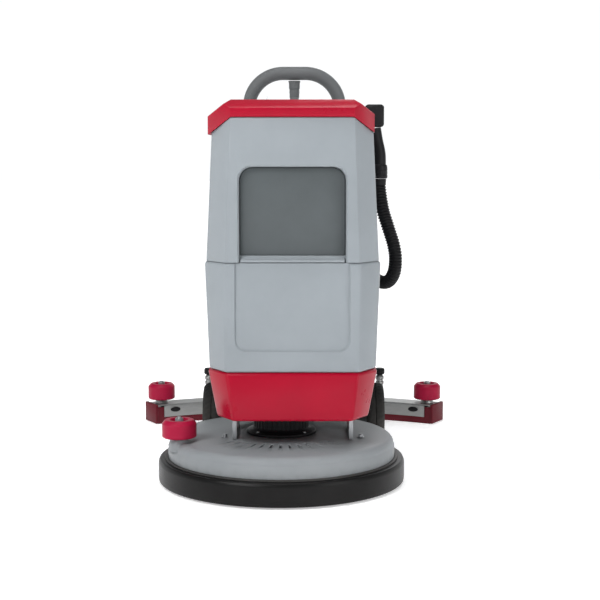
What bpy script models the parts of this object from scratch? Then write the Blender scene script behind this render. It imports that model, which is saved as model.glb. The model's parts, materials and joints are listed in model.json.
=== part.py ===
"""Walk-behind floor scrubber dryer: two stacked tanks, disc brush deck in front, squeegee behind.

Metres, +Z up, front towards -Y, origin on the floor under the middle of the bounding box.
"""

import math

import bmesh
import bpy
from mathutils import Matrix, Vector

GAP = 0.0003

# Tank stack, front to rear
FRONT_Y, CORNER_Y, REAR_Y = -0.49, -0.43, 0.30
COVER_Z, SOLUTION_Z, SEAM_Z, TANK_TOP_Z = 0.168, 0.275, 0.5125, 0.8205
SHOULDER_X, SHOULDER_DROP = 0.130, 0.031
WINDOW_X, WINDOW_LOW_Z, WINDOW_TOP_Z, WINDOW_DEPTH = 0.114, 0.527, 0.716, 0.028
RECESS_X, RECESS_LOW_Z, RECESS_DEPTH = 0.122, 0.322, 0.005
LID_TOP_Z, LID_OVERHANG, LID_RIGHT_X = 0.859, 0.004, 0.1762

# Brush deck
DECK_X, DECK_Y, DECK_R = -0.0265, -0.31, 0.259
SKIRT_R, SKIRT_LOW_Z, SKIRT_TOP_Z = 0.2815, 0.004, 0.056
BRUSH_R, BRISTLE_Z, DRIVER_TOP_Z = 0.245, 0.032, 0.047
DECK_TOP_Z, MOTOR_R, MOTOR_TOP_Z = 0.110, 0.0625, 0.205
SLOTS, SLOT_STEP_DEG = 7, 7.5
LINK_PIVOT_Y, LINK_PIVOT_Z, LINK_FRONT_Y, LINK_FRONT_Z = -0.06, 0.185, -0.26, 0.158

# Squeegee
BAR_FRONT, BAR_REAR = 0.040, 0.021
SQUEEGEE_R, SQUEEGEE_Y, SQUEEGEE_TIP_X = 0.81, -0.344, 0.399
SQUEEGEE_LOW_Z, SQUEEGEE_TOP_Z = 0.030, 0.052
SPIGOT_Y = SQUEEGEE_Y + SQUEEGEE_R
ARM_PIVOT_Y, ARM_PIVOT_Z = 0.27, 0.15

# The stack is drawn about the drive axle's middle, and the finished machine is moved so that the
# middle of its bounding box stands over the origin.
BOX_MIDDLE_Y = -0.02175

# Wheels
WHEEL_R, WHEEL_OUT_X, WHEEL_W, AXLE_Y = 0.0825, 0.228, 0.045, 0.03
CASTER_X, CASTER_Y, CASTER_TRAIL, CASTER_R = 0.12, 0.28, 0.03, 0.0375

# Handle and dashboard
HANDLE_X, HANDLE_Y, HANDLE_TOP_Z, TUBE_R = 0.131, 0.52, 0.9935, 0.0162
DASH_Y, DASH_Z, DASH_TILT_DEG = 0.42, 0.872, 13.0
LID_HINGE_Y, LID_HINGE_Z = 0.306, 0.8285

# Drain hose, from its collar down and round to the outlet behind the tank
HOSE_R = 0.0185
HOSE_ROUTE = [
    (0.228, 0.250, 0.6798), (0.2285, 0.250, 0.655), (0.237, 0.245, 0.600), (0.252, 0.240, 0.550),
    (0.266, 0.237, 0.505), (0.272, 0.240, 0.465), (0.268, 0.253, 0.425), (0.252, 0.283, 0.400),
    (0.226, 0.318, 0.403), (0.200, 0.342, 0.435), (0.182, 0.353, 0.475), (0.1763, 0.354, 0.5140),
]

COLOURS = {
    "grey_plastic": ((0.40, 0.43, 0.45), 0.35, 0.0),
    "dark_plastic": ((0.09, 0.10, 0.11), 0.45, 0.0),
    "mid_plastic": ((0.17, 0.18, 0.18), 0.45, 0.0),
    "red_plastic": ((0.43, 0.002, 0.014), 0.35, 0.0),
    "black_plastic": ((0.012, 0.012, 0.013), 0.5, 0.0),
    "black_rubber": ((0.012, 0.012, 0.012), 0.7, 0.0),
    "red_rubber": ((0.22, 0.01, 0.015), 0.6, 0.0),
    "roller_plastic": ((0.45, 0.012, 0.06), 0.45, 0.0),
    "steel": ((0.55, 0.56, 0.57), 0.3, 1.0),
    "aluminium": ((0.62, 0.63, 0.64), 0.35, 1.0),
    "painted_steel": ((0.02, 0.02, 0.021), 0.45, 0.0),
    "bristle": ((0.03, 0.05, 0.12), 0.8, 0.0),
    "lens": ((0.02, 0.03, 0.03), 0.1, 0.0),
}


def clear_scene():
    for thing in list(bpy.data.objects):
        bpy.data.objects.remove(thing, do_unlink=True)


def material(name):
    found = bpy.data.materials.get(name)
    if found:
        return found
    colour, roughness, metallic = COLOURS[name]
    made = bpy.data.materials.new(name)
    made.use_nodes = True
    shader = made.node_tree.nodes["Principled BSDF"]
    shader.inputs["Base Color"].default_value = (*colour, 1.0)
    shader.inputs["Roughness"].default_value = roughness
    shader.inputs["Metallic"].default_value = metallic
    return made


def empty(name, location, rotation=(0.0, 0.0, 0.0)):
    made = bpy.data.objects.new(name, None)
    made.location = location
    made.rotation_euler = rotation
    bpy.context.scene.collection.objects.link(made)
    return made


def put(name, mesh, finish=None, location=(0, 0, 0), rotation=(0, 0, 0), parent=None, smooth=False):
    """Link a mesh as an object; a parented one is given its place in its parent's frame."""
    if isinstance(mesh, bmesh.types.BMesh):
        bmesh.ops.recalc_face_normals(mesh, faces=mesh.faces)
        data = bpy.data.meshes.new(name)
        mesh.to_mesh(data)
        mesh.free()
    else:
        data = mesh
    made = bpy.data.objects.new(name, data)
    if finish:
        data.materials.append(material(finish))
    made.location, made.rotation_euler, made.parent = location, rotation, parent
    bpy.context.scene.collection.objects.link(made)
    if smooth:
        data.shade_smooth()
        data.set_sharp_from_angle(angle=math.radians(40))
    return made


def block(low, high):
    """A box between two corners."""
    mesh = bmesh.new()
    bmesh.ops.create_cube(mesh, size=1.0)
    low, high = Vector(low), Vector(high)
    bmesh.ops.scale(mesh, vec=high - low, verts=mesh.verts)
    bmesh.ops.translate(mesh, vec=(low + high) / 2, verts=mesh.verts)
    return mesh


def loft(rings):
    """A closed solid through rings of equally many points."""
    mesh = bmesh.new()
    loops = [[mesh.verts.new(point) for point in ring] for ring in rings]
    count = len(loops[0])
    for lower, upper in zip(loops, loops[1:]):
        for i in range(count):
            j = (i + 1) % count
            mesh.faces.new((lower[i], lower[j], upper[j], upper[i]))
    mesh.faces.new(list(reversed(loops[0])))
    mesh.faces.new(loops[-1])
    return mesh


def turned(profile, steps=32):
    """A solid of revolution about Z from (radius, height) points; it closes on itself or on the axis."""
    mesh = bmesh.new()
    on_axis = profile[0][0] == 0 and profile[-1][0] == 0
    rings = []
    for radius, height in profile:
        turns = 1 if radius == 0 else steps
        angles = [2 * math.pi * i / steps for i in range(turns)]
        rings.append([mesh.verts.new((radius * math.cos(a), radius * math.sin(a), height)) for a in angles])
    pairs = list(zip(rings, rings[1:])) + ([] if on_axis else [(rings[-1], rings[0])])
    for first, second in pairs:
        for i in range(steps):
            j = (i + 1) % steps
            corners = (first[i % len(first)], first[j % len(first)], second[j % len(second)],
                       second[i % len(second)])
            unique = list(dict.fromkeys(corners))
            if len(unique) > 2:
                mesh.faces.new(unique)
    return mesh


def rod(radius, low, high, steps=24):
    return turned([(0, low), (radius, low), (radius, high), (0, high)], steps)


def ring(inner, outer, low, high, steps=32):
    return turned([(inner, low), (outer, low), (outer, high), (inner, high)], steps)


def sector(inner, outer, low, high, half_angle, steps=24):
    """A curved bar about the squeegee's centre of curvature, bulging to the rear."""
    rings = []
    for i in range(steps + 1):
        a = half_angle * (2 * i / steps - 1)
        rings.append([(r * math.sin(a), SQUEEGEE_Y + r * math.cos(a), z)
                      for r, z in ((inner, low), (outer, low), (outer, high), (inner, high))])
    return loft(rings)


def arc(centre, radius, start_deg, end_deg, steps=5):
    """Points of an arc in a plane, as (u, v) pairs."""
    turns = [math.radians(start_deg + (end_deg - start_deg) * i / steps) for i in range(steps + 1)]
    return [(centre[0] + radius * math.cos(t), centre[1] + radius * math.sin(t)) for t in turns]


def tube(name, points, radius, finish, sides=3, parent=None, radii=None):
    curve = bpy.data.curves.new(name, "CURVE")
    curve.dimensions = "3D"
    curve.bevel_depth = radius
    curve.bevel_resolution = sides
    curve.use_fill_caps = True
    spline = curve.splines.new("POLY")
    spline.points.add(len(points) - 1)
    for i, point in enumerate(points):
        spline.points[i].co = (*point, 1.0)
        spline.points[i].radius = radii[i] if radii else 1.0
    curve.materials.append(material(finish))
    made = bpy.data.objects.new(name, curve)
    made.parent = parent
    bpy.context.scene.collection.objects.link(made)
    return made


def smooth_path(points, per_span):
    """A Catmull-Rom curve through the points."""
    ends = [2 * Vector(points[0]) - Vector(points[1])]
    ends += [Vector(p) for p in points] + [2 * Vector(points[-1]) - Vector(points[-2])]
    path = []
    for a, b, c, d in zip(ends, ends[1:], ends[2:], ends[3:]):
        for i in range(per_span):
            t = i / per_span
            path.append(0.5 * (2 * b + (c - a) * t + (2 * a - 5 * b + 4 * c - d) * t**2
                               + (3 * b - a - 3 * c + d) * t**3))
    return [tuple(p) for p in path] + [tuple(points[-1])]


def sweep(points, radius, steps=16):
    """A round bar along points, as a mesh that a Boolean can join."""
    points = [Vector(p) for p in points]
    rings, side = [], Vector((0, 1, 0))
    for i, point in enumerate(points):
        along = (points[min(i + 1, len(points) - 1)] - points[max(i - 1, 0)]).normalized()
        side = (side - side.dot(along) * along).normalized()
        across = along.cross(side)
        turns = [2 * math.pi * k / steps for k in range(steps)]
        rings.append([point + radius * (math.cos(t) * side + math.sin(t) * across) for t in turns])
    return loft(rings)


def boolean(target, mesh, operation="DIFFERENCE"):
    """Cut, join or trim a target with a hidden mesh given in the target's frame."""
    tool = put(f"{target.name}_tool", mesh)
    tool.parent = target.parent
    tool.location, tool.rotation_euler = target.location, target.rotation_euler
    tool.hide_render = True
    tool.display_type = "WIRE"
    step = target.modifiers.new(operation.title(), "BOOLEAN")
    step.operation, step.object, step.solver = operation, tool, "EXACT"
    return target


def soften(thing, width, segments=2, angle_deg=30):
    step = thing.modifiers.new("Bevel", "BEVEL")
    step.width, step.segments = width, segments
    step.limit_method, step.angle_limit = "ANGLE", math.radians(angle_deg)
    return thing


def plan(front_x, side_x, z, front=FRONT_Y, corner=CORNER_Y, rear=REAR_Y):
    """The stack's outline seen from above: flat front, angled corners, straight sides."""
    return [(-side_x, rear, z), (-side_x, corner, z), (-front_x, front, z),
            (front_x, front, z), (side_x, corner, z), (side_x, rear, z)]


def roof(lift, flat_x=SHOULDER_X, out_x=0.26, low=0.3):
    """A prism along Y under the sloping shoulders of tank and lid, raised by lift."""
    top = TANK_TOP_Z + lift
    slope = SHOULDER_DROP / 0.045
    drop = slope * (out_x - flat_x)
    section = [(-out_x, low), (out_x, low), (out_x, top - drop), (flat_x, top), (-flat_x, top),
               (-out_x, top - drop)]
    return loft([[(x, y, z) for x, z in section] for y in (-0.6, 0.5)])


def plate(half_x, low, high, front, rear, radius, round_low=False):
    """An upright plate with its two top or bottom corners rounded."""
    if round_low:
        outline = [(half_x, high), (-half_x, high)]
        outline += arc((-half_x + radius, low + radius), radius, 180, 270)
        outline += arc((half_x - radius, low + radius), radius, 270, 360)
    else:
        outline = [(-half_x, low), (half_x, low)]
        outline += arc((half_x - radius, high - radius), radius, 0, 90)
        outline += arc((-half_x + radius, high - radius), radius, 90, 180)
    return loft([[(x, y, z) for x, z in outline] for y in (front, rear)])


def solution_tank():
    tank = put("solution_tank", loft([plan(0.1455, 0.183, SOLUTION_Z), plan(0.1455, 0.192, SEAM_Z - GAP)]),
               "grey_plastic")
    soften(tank, 0.008)
    boolean(tank, block((-0.155, -0.14, 0.29), (0.155, 0.27, 0.6)))
    boolean(tank, plate(RECESS_X, RECESS_LOW_Z, 0.6, -0.6, FRONT_Y + RECESS_DEPTH, 0.025, True))


def batteries():
    for side, centre in (("left", -0.0765), ("right", 0.0765)):
        case = put(f"battery_{side}", block((-0.075, -0.135, 0), (0.075, 0.265, 0.19)), "black_plastic",
                   (centre, 0, 0.29 + GAP))
        soften(case, 0.004, 1)


def front_cover():
    top = SOLUTION_Z - GAP
    cover = put("front_cover", loft([plan(0.130, 0.166, COVER_Z, rear=-0.33),
                                     plan(0.1435, 0.186, top, rear=-0.33)]), "red_plastic")
    soften(cover, 0.006)
    boolean(cover, loft([plan(0.126, 0.161, COVER_Z - 0.02, front=-0.485, corner=-0.427, rear=-0.2),
                         plan(0.1375, 0.179, top - 0.004, front=-0.485, corner=-0.427, rear=-0.2)]))


def chassis():
    low, high = 0.240, SOLUTION_Z - GAP
    frame = put("chassis_frame", block((-0.136, -0.06, low), (0.136, 0.11, high)), "painted_steel")
    for side in (-1, 1):
        inner, outer = sorted((side * 0.106, side * 0.136))
        boolean(frame, block((inner, -0.32, low), (outer, 0.31, high)), "UNION")
        lug = sorted((side * 0.106, side * 0.116))
        boolean(frame, block((lug[0], -0.078, LINK_PIVOT_Z + 0.0135), (lug[1], -0.040, low + 0.01)), "UNION")
        boolean(frame, block((side * CASTER_X - 0.024, CASTER_Y - 0.024, 0.1213),
                             (side * CASTER_X + 0.024, CASTER_Y + 0.024, low + 0.01)), "UNION")
        arm = sorted((side * 0.034, side * 0.044))
        boolean(frame, block((arm[0], 0.25, 0.134), (arm[1], 0.29, low + 0.01)), "UNION")
    boolean(frame, block((-0.12, 0.24, low + 0.002), (0.12, 0.30, high - 0.002)), "UNION")
    boolean(frame, block((-0.12, -0.318, low + 0.002), (0.12, -0.29, high - 0.002)), "UNION")
    boolean(frame, block((-0.05, 0.005, WHEEL_R + 0.0305), (0.05, 0.055, low + 0.01)), "UNION")


def transaxle():
    gearbox = put("transaxle", rod(0.030, -0.1675, 0.1675, 20), "mid_plastic", (0, AXLE_Y, WHEEL_R),
                  (0, math.pi / 2, 0))
    boolean(gearbox, block((-0.0172, -0.045, -0.06), (0.040, 0.045, 0.06)), "UNION")


def wheels():
    for side, name in ((-1, "left"), (1, "right")):
        axle = empty(f"wheel_{name}_axle", (0, AXLE_Y, WHEEL_R), (0, side * math.pi / 2, 0))
        out, wide = WHEEL_OUT_X, WHEEL_W
        edge = [(WHEEL_R, out - wide / 2), (WHEEL_R - 0.002, out - wide + 0.006), (WHEEL_R - 0.008,
                                                                                   out - wide)]
        profile = [(0.058, out - wide), *reversed(edge), (WHEEL_R - 0.002, out - 0.006), (WHEEL_R - 0.008,
                                                                                          out),
                   (0.058, out)]
        put(f"tyre_{name}", turned(profile, 36), "black_rubber", parent=axle, smooth=True)
        hub = [(0, 0.168), (0.022, 0.168), (0.022, 0.190), (0.0577, 0.190), (0.0577, out - 0.004),
               (0.046, out - 0.004), (0.038, out - 0.014), (0.020, out - 0.014), (0.018, out - 0.001),
               (0, out - 0.001)]
        put(f"wheel_hub_{name}", turned(hub, 24), "mid_plastic", parent=axle, smooth=True)


def casters():
    for side, name in ((-1, "left"), (1, "right")):
        swivel = empty(f"caster_{name}_swivel", (side * CASTER_X, CASTER_Y, 0))
        fork = put(f"caster_fork_{name}", rod(0.026, 0.1130, 0.121, 20), "steel", parent=swivel)
        for leg in (-1, 1):
            a, b = sorted((leg * 0.0145, leg * 0.0175))
            section = [(-0.010, 0.114), (0.022, 0.114), (0.040, 0.030), (0.020, 0.030)]
            boolean(fork, loft([[(x, y, z) for y, z in section] for x in (a, b)]), "UNION")
        spindle = empty(f"caster_{name}_spindle", (side * CASTER_X, CASTER_Y + CASTER_TRAIL, CASTER_R),
                        (0, math.pi / 2, 0))
        tread = [(0, -0.013), (0.012, -0.013), (0.014, -0.011), (0.034, -0.011), (CASTER_R, -0.006),
                 (CASTER_R, 0.006), (0.034, 0.011), (0.014, 0.011), (0.012, 0.013), (0, 0.013)]
        put(f"caster_wheel_{name}", turned(tread, 24), "black_rubber", parent=spindle, smooth=True)


def recovery_tank():
    base = SEAM_Z
    tank = put("recovery_tank", loft([plan(0.1435, 0.188, base), plan(0.130, 0.171, 0.86)]), "grey_plastic")
    boolean(tank, roof(0.0), "INTERSECT")
    soften(tank, 0.007)
    boolean(tank, loft([plan(0.128, 0.178, base + 0.008, -0.452, -0.41, REAR_Y - 0.006),
                        plan(0.120, 0.165, 0.90, -0.452, -0.41, REAR_Y - 0.006)]))
    boolean(tank, plate(WINDOW_X, WINDOW_LOW_Z, WINDOW_TOP_Z, -0.6, FRONT_Y + WINDOW_DEPTH, 0.026))
    insert = put("window_insert", plate(WINDOW_X - 0.001, WINDOW_LOW_Z + 0.001, WINDOW_TOP_Z - 0.001,
                                        FRONT_Y + 0.016, FRONT_Y + WINDOW_DEPTH - GAP, 0.025), "dark_plastic")
    soften(insert, 0.003, 2)
    put("suction_pipe", ring(0.018, 0.022, base + 0.0083, 0.735, 20), "grey_plastic", (0.05, 0.20, 0))
    cage = turned([(0, 0.7353), (0.034, 0.7353), (0.034, 0.785), (0.028, 0.790), (0, 0.790)], 20)
    put("float_cage", cage, "red_plastic", (0.05, 0.20, 0))


def tank_lid():
    hinge = empty("lid_hinge", (0, LID_HINGE_Y, LID_HINGE_Z))
    out = LID_OVERHANG
    shift = Matrix.Translation((0, -LID_HINGE_Y, -LID_HINGE_Z))

    def moved(mesh):
        mesh.transform(shift)
        return mesh

    outer = loft([plan(0.132, 0.174 + out + 0.005, z, FRONT_Y - out, CORNER_Y,
                       REAR_Y + out) for z in (0.7, 0.9)])
    lid = put("tank_lid", moved(outer), "red_plastic", parent=hinge)
    front, rear, low = FRONT_Y - out - 0.01, REAR_Y + out + 0.01, 0.70
    side = [(front, low), (rear, low), (rear, 0.833), (REAR_Y - 0.026, LID_TOP_Z), (FRONT_Y + 0.036,
                                                                                    LID_TOP_Z),
            (front, 0.8355)]
    boolean(lid, moved(loft([[(x, y, z) for y, z in side] for x in (-0.3, 0.3)])), "INTERSECT")
    boolean(lid, moved(roof(LID_TOP_Z - TANK_TOP_Z, 0.132)), "INTERSECT")
    boolean(lid, moved(roof(GAP + 0.0004)))
    boolean(lid, moved(block((LID_RIGHT_X, -0.6, 0.7), (0.3, 0.6, 0.9))))
    soften(lid, 0.005, 2)
    cavity = loft([plan(0.118, 0.166, z, FRONT_Y + 0.030, CORNER_Y + 0.014, REAR_Y - 0.022) for z in (0.7,
                                                                                                      0.9)])
    tool = put("lid_cavity_trim", moved(cavity), parent=hinge)
    tool.hide_render, tool.display_type = True, "WIRE"
    boolean(tool, moved(roof(0.030, 0.128)), "INTERSECT")
    step = lid.modifiers.new("Hollow", "BOOLEAN")
    step.operation, step.object, step.solver = "DIFFERENCE", tool, "EXACT"


def drain_parts():
    tube("drain_hose", smooth_path(HOSE_ROUTE, 3), HOSE_R, "black_plastic", 3)
    collar = rod(0.0215, 0.6808, 0.718, 20)
    collar.transform(Matrix.Translation((0.228, 0.250, 0)))
    neck = [(0.228, 0.250, 0.700), (0.227, 0.251, 0.745), (0.220, 0.255, 0.780), (0.2145, 0.258, 0.8125)]
    bend = put("drain_neck", sweep(smooth_path(neck, 2), HOSE_R - 0.001), "black_plastic", smooth=True)
    boolean(bend, collar, "UNION")
    cap = put("drain_cap", block((-0.025, -0.026, 0), (0.025, 0.026, 0.060)), "black_plastic",
              (0.214, 0.258, 0.8165))
    soften(cap, 0.006, 2)
    elbow = [(0.176, REAR_Y + 0.0008, 0.552), (0.176, 0.322, 0.552), (0.176, 0.340, 0.548),
             (0.176, 0.352, 0.533), (0.176, 0.354, 0.523), (0.176, 0.354, 0.5185)]
    tube("drain_elbow", elbow, HOSE_R + 0.0015, "black_plastic", 3)


def rear_housing():
    housing = put("rear_housing", block((-0.14, 0.318, SOLUTION_Z), (0.14, 0.425, 0.835)), "grey_plastic")
    soften(housing, 0.010, 2)
    boolean(housing, block((-0.134, 0.25, SOLUTION_Z + 0.006), (0.134, 0.419, 0.80)))
    foot = block((-0.11, REAR_Y + GAP + 0.001, SOLUTION_Z), (0.11, 0.325, SOLUTION_Z + 0.05))
    boolean(housing, foot, "UNION")
    boolean(housing, block((0.130, 0.328, 0.215), (0.1505, 0.362, 0.32)), "UNION")
    outline = [(0, 0), (0.053, 0), (0.053, 0.05), (0.045, 0.055), (0.045, 0.105), (0.030, 0.115), (0, 0.115)]
    motor = turned(outline)
    put("vacuum_motor", motor, "mid_plastic", (0, 0.3645, SOLUTION_Z + 0.051), smooth=True)


def dashboard():
    tilt = math.radians(DASH_TILT_DEG)
    plane = empty("dash_plane", (0, DASH_Y, DASH_Z), (-tilt, 0, 0))
    panel = put("dashboard_panel", block((-0.108, -0.062, -0.030), (0.108, 0.058, 0)), "dark_plastic",
                parent=plane)
    soften(panel, 0.006, 2)
    lens = put("display_lens", block((-0.030, -0.050, GAP), (0.030, -0.018, 0.003)), "lens", parent=plane)
    soften(lens, 0.001, 1)
    places = {"key_switch": (-0.075, -0.030), "brush_button": (-0.045, 0.030), "vacuum_button": (0.045,
                                                                                                 0.030),
              "water_knob": (0.075, -0.030)}
    for name, (x, y) in places.items():
        spot = empty(f"{name}_axis", (x, y, 0))
        spot.parent = plane
        if name.endswith("button"):
            put(name, rod(0.011, 0.0030, 0.009, 20), "grey_plastic", parent=spot, smooth=True)
        elif name == "water_knob":
            knob = put(name, turned([(0, GAP), (0.017, GAP), (0.015, 0.013), (0.013, 0.015), (0, 0.015)], 20),
                       "mid_plastic", parent=spot, smooth=True)
            boolean(knob, block((-0.002, 0.004, 0.014), (0.002, 0.0165, 0.017)))
        else:
            key = put(name, rod(0.009, GAP, 0.006, 20), "steel", parent=spot)
            boolean(key, block((-0.0012, -0.009, 0.004), (0.0012, 0.009, 0.024)), "UNION")


def handle():
    corner, top = 0.098, HANDLE_TOP_Z - TUBE_R * 1.17
    foot = [(HANDLE_X, 0.4275, 0.770), (HANDLE_X, 0.460, 0.772), (HANDLE_X, 0.505, 0.806), (HANDLE_X,
                                                                                            0.520, 0.850)]
    bend = [(u, HANDLE_Y, v) for u, v in arc((HANDLE_X - corner, top - corner), corner, 0, 90, 8)]
    half = smooth_path(foot, 2) + bend
    points = half + [(-x, y, z) for x, y, z in reversed(half)]
    sizes = [1.0 + 0.17 * max(0.0, min(1.0, (z - 0.90) / 0.06)) for _, _, z in points]
    tube("handle_loop", points, TUBE_R, "mid_plastic", 4, radii=sizes)
    top_z = HANDLE_TOP_Z - 2.34 * TUBE_R - 0.001
    profile = [(0, -0.050), (0.0145, -0.049), (0.0145, -0.030), (0.0155, -0.028), (0.0155, -0.006),
               (0.018, 0),
               (0, 0)]
    post = put("handle_stem", turned(profile, 20), "mid_plastic", (0, HANDLE_Y, top_z), smooth=True)
    foot = [(0.012, -0.049), (0.012, -0.056), (-0.046, -0.0938), (-0.068, -0.0887), (-0.068, -0.080),
            (-0.014, -0.049)]
    boolean(post, loft([[(x, y, z) for y, z in foot] for x in (-0.013, 0.013)]), "UNION")
    spot = empty("trigger_axis", (0, HANDLE_Y + 0.020, top_z - 0.006))
    trigger = put("drive_trigger", block((-0.0125, 0, -0.038), (0.0125, 0.008, 0.004)), "mid_plastic",
                  parent=spot)
    soften(trigger, 0.003, 2)


def deck_point(x, y, z):
    return (x - DECK_X, y - DECK_Y, z)


def brush_deck():
    centre = (DECK_X, DECK_Y, 0)
    wall = 0.005
    outer = [(DECK_R, 0.047), (DECK_R, 0.088)] + arc((DECK_R - 0.018, 0.088), 0.018, 0, 75, 4)[1:]
    outer += [(0.13, DECK_TOP_Z), (0.035, DECK_TOP_Z)]
    inner = [(0.035, DECK_TOP_Z - wall), (0.13, DECK_TOP_Z - wall), (0.236, 0.100), (DECK_R - wall, 0.088),
             (DECK_R - wall, 0.047)]
    deck = put("brush_deck", turned(outer + inner, 48), "mid_plastic", centre, smooth=True)
    post = rod(0.009, 0.085, 0.158, 16)
    post.transform(Matrix.Translation((*deck_point(-0.253, -0.40, 0)[:2], 0)))
    boolean(deck, post, "UNION")
    for i in range(SLOTS):
        slot = block((-0.0028, -0.172, 0.08), (0.0028, -0.138, 0.13))
        slot.transform(Matrix.Rotation(math.radians((i - SLOTS // 2) * SLOT_STEP_DEG), 4, "Z"))
        boolean(deck, slot)
    for side, name in ((-1, "left"), (1, "right")):
        a, b = sorted((side * 0.1255, side * 0.1345))
        low = put(f"deck_hanger_{name}", block(deck_point(a, -0.40, DECK_TOP_Z + 0.0005),
                  deck_point(b, -0.24, DECK_TOP_Z + 0.006)), "steel", centre)
        section = [(-0.295, 0.112), (-0.245, 0.112), (-0.248, 0.170), (-0.272, 0.170)]
        ear = loft([[deck_point(x, y, z) for y, z in section] for x in (a, b)])
        boolean(low, ear, "UNION")
        upright = loft([[deck_point(x, y, z) for y, z in ((-0.400, 0.112), (-0.385, 0.112), (-0.385, 0.158),
                                                          (-0.400, 0.158))] for x in (a, b)])
        boolean(low, upright, "UNION")
    profile = [(SKIRT_R - 0.012, SKIRT_LOW_Z), (SKIRT_R, SKIRT_LOW_Z), (SKIRT_R, SKIRT_TOP_Z - 0.005),
               (SKIRT_R - 0.003, SKIRT_TOP_Z), (DECK_R + 0.0005, SKIRT_TOP_Z), (DECK_R + 0.0005, 0.049),
               (SKIRT_R - 0.012, 0.044)]
    put("deck_skirt", turned(profile, 64), "black_rubber", centre, smooth=True)
    strap = ring(DECK_R + 0.0005, DECK_R + 0.008, SKIRT_TOP_Z + GAP, SKIRT_TOP_Z + 0.004, 48)
    put("skirt_strap", strap, "steel", centre, smooth=True)
    motor = [(0, DECK_TOP_Z + 0.0005), (0.080, DECK_TOP_Z + 0.0005), (0.080, DECK_TOP_Z + 0.008),
             (MOTOR_R, DECK_TOP_Z + 0.012),
             (MOTOR_R, MOTOR_TOP_Z - 0.006), (MOTOR_R - 0.006, MOTOR_TOP_Z), (0, MOTOR_TOP_Z)]
    put("brush_motor", turned(motor, 32), "black_plastic", centre, smooth=True)


def deck_roller():
    roller("deck_roller", (-0.253, -0.40, 0.116), 0.0385, 0.040, 0.0095)


def roller(name, location, radius, height, bore):
    profile = [(bore, 0), (radius - 0.003, 0), (radius, 0.004), (radius, height - 0.007), (radius - 0.006,
                                                                                           height),
               (0.019, height), (0.016, height - 0.008), (bore, height - 0.008)]
    put(name, turned(profile, 28), "roller_plastic", location, smooth=True)


def brush():
    spindle = empty("brush_spindle", (DECK_X, DECK_Y, 0))
    put("brush_bristles", ring(0.09, BRUSH_R, 0, BRISTLE_Z, 40), "bristle", parent=spindle)
    put("pad_driver", ring(0.03, BRUSH_R, BRISTLE_Z + GAP, DRIVER_TOP_Z, 40), "red_plastic", parent=spindle)
    hub = turned([(0, BRISTLE_Z), (0.0295, BRISTLE_Z), (0.0295, DECK_TOP_Z), (0, DECK_TOP_Z)], 24)
    put("brush_hub", hub, "steel", parent=spindle, smooth=True)


def deck_link():
    pivot = empty("deck_link_pivot", (0, LINK_PIVOT_Y, LINK_PIVOT_Z))
    rise, run = LINK_FRONT_Z - LINK_PIVOT_Z, LINK_FRONT_Y - LINK_PIVOT_Y
    half = 0.009
    link = put("deck_link", block((-0.1245, -half, -half), (0.1245, half, half)), "steel", parent=pivot)
    for side in (-1, 1):
        a, b = sorted((side * 0.1182, side * 0.1250))
        section = [(half, -half), (half, half), (run, rise + half), (run - half, rise), (run, rise - half)]
        boolean(link, loft([[(x, y, z) for y, z in section] for x in (a, b)]), "UNION")


def squeegee():
    half = math.asin(SQUEEGEE_TIP_X / SQUEEGEE_R)
    swivel = empty("squeegee_swivel", (0, SPIGOT_Y, 0))
    back = Matrix.Translation((0, -SPIGOT_Y, 0))

    def part(name, mesh, finish):
        mesh.transform(back)
        return put(name, mesh, finish, parent=swivel)

    bar = sector(SQUEEGEE_R - BAR_FRONT, SQUEEGEE_R + BAR_REAR, SQUEEGEE_LOW_Z, SQUEEGEE_TOP_Z, half)
    body = part("squeegee_body", bar, "aluminium")
    boolean(body, turned([(0, 0.04), (0.020, 0.04), (0.020, 0.100), (0, 0.100)], 24), "UNION")
    boolean(body, rod(0.016, 0.02, 0.12, 24))
    for side in (-1, 1):
        post = rod(0.0095, 0.045, 0.110, 16)
        post.transform(Matrix.Translation((side * 0.373, 0.375 - SPIGOT_Y, 0)))
        boolean(body, post, "UNION")
    blades = {"front": SQUEEGEE_R - BAR_FRONT - 0.0046, "rear": SQUEEGEE_R + BAR_REAR + 0.0006}
    for name, radius in blades.items():
        part(f"{name}_blade", sector(radius, radius + 0.004, 0.0, 0.046, half), "red_rubber")
    part("front_clamp", sector(SQUEEGEE_R - 0.0480, SQUEEGEE_R - 0.0449, 0.019, 0.050, half - 0.02),
         "aluminium")
    for side, name in ((-1, "left"), (1, "right")):
        cap = sector(SQUEEGEE_R - BAR_FRONT - 0.006, SQUEEGEE_R + BAR_REAR + 0.005, 0.001, 0.054, 0.005, 2)
        cap.transform(Matrix.Translation((0, -SQUEEGEE_Y, 0)))
        cap.transform(Matrix.Rotation(-side * (half + 0.0055), 4, "Z"))
        cap.transform(Matrix.Translation((0, SQUEEGEE_Y, 0)))
        part(f"end_flap_{name}", cap, "red_rubber")
        knob_x, knob_y = side * 0.243, SQUEEGEE_Y + math.sqrt(SQUEEGEE_R**2 - 0.243**2) - SPIGOT_Y
        base = SQUEEGEE_TOP_Z + GAP
        stud = turned([(0, base), (0.014, base), (0.014, base + 0.005), (0.010, base + 0.007), (0.010, 0.108),
                       (0.012, 0.110), (0.012, 0.116), (0.006, 0.1225), (0, 0.1225)], 20)
        put(f"adjuster_stud_{name}", stud, "aluminium", (knob_x, knob_y, 0), parent=swivel, smooth=True)
        knob = turned([(0, 0), (0.012, 0), (0.014, 0.003), (0.014, 0.014), (0.011, 0.018), (0, 0.018)], 20)
        put(f"adjuster_knob_{name}", knob, "black_plastic", (knob_x, knob_y, 0.1228), parent=swivel,
            smooth=True)
        roller(f"squeegee_roller_{name}", (side * 0.373, 0.375, 0.0625), 0.037, 0.044, 0.0100)


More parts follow.
